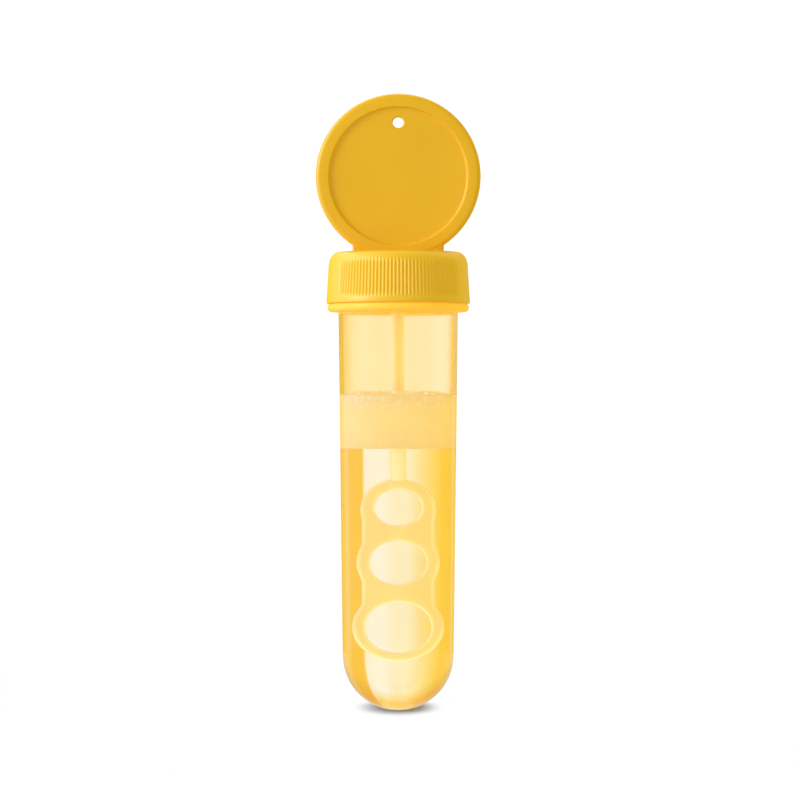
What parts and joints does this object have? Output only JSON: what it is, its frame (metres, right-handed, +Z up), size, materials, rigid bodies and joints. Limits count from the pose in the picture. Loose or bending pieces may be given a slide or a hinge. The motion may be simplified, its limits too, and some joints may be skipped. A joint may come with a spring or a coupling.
{
  "type": "bubble blower",
  "caption": "Round-ended tube of bubble solution with a grooved screw cap, a disc handle on the cap and a dipping wand with loops of rising size.",
  "frame": {"origin": "middle of the small flat foot under the round end of the tube", "axes": "+Z up along the tube, through the cap and the disc handle; -Y is the side that the disc and the wand's loops face; +X to the right seen from there"},
  "size_m": [0.0356, 0.031, 0.133],
  "materials": {
    "tube": "translucent yellow polypropylene, smooth and glossy",
    "cap": "opaque yellow polypropylene, satin",
    "wand": "pale yellow polypropylene, satin",
    "seal": "off-white soft polyethylene",
    "solution": "clear liquid",
    "foam": "fine wet foam"
  },
  "bodies": {
    "tube": {"tube": "tube"},
    "contents": {"bubble_solution": "solution", "foam": "foam"},
    "ring": {"sealing_ring": "seal"},
    "cap": {"screw_cap": "cap", "wand": "wand"}
  },
  "joints": [
    {"name": "cap_turn", "type": "hinge", "parent": "tube", "child": "contents", "pos_m": [0, 0, 0.0957], "axis": [0, 0, 1], "range_deg": [0, 720]},
    {"name": "pull_out", "type": "slide", "parent": "contents", "child": "ring", "axis": [0, 0, 1], "range_m": [0, 0.1]},
    {"name": "cap_rise", "type": "slide", "parent": "ring", "child": "cap", "axis": [0, 0, 1], "range_m": [0, 0.006]}
  ],
  "couplings": [
    {"joint": "cap_rise", "follows": "cap_turn", "m_per_rad": 0.00047746}
  ]
}
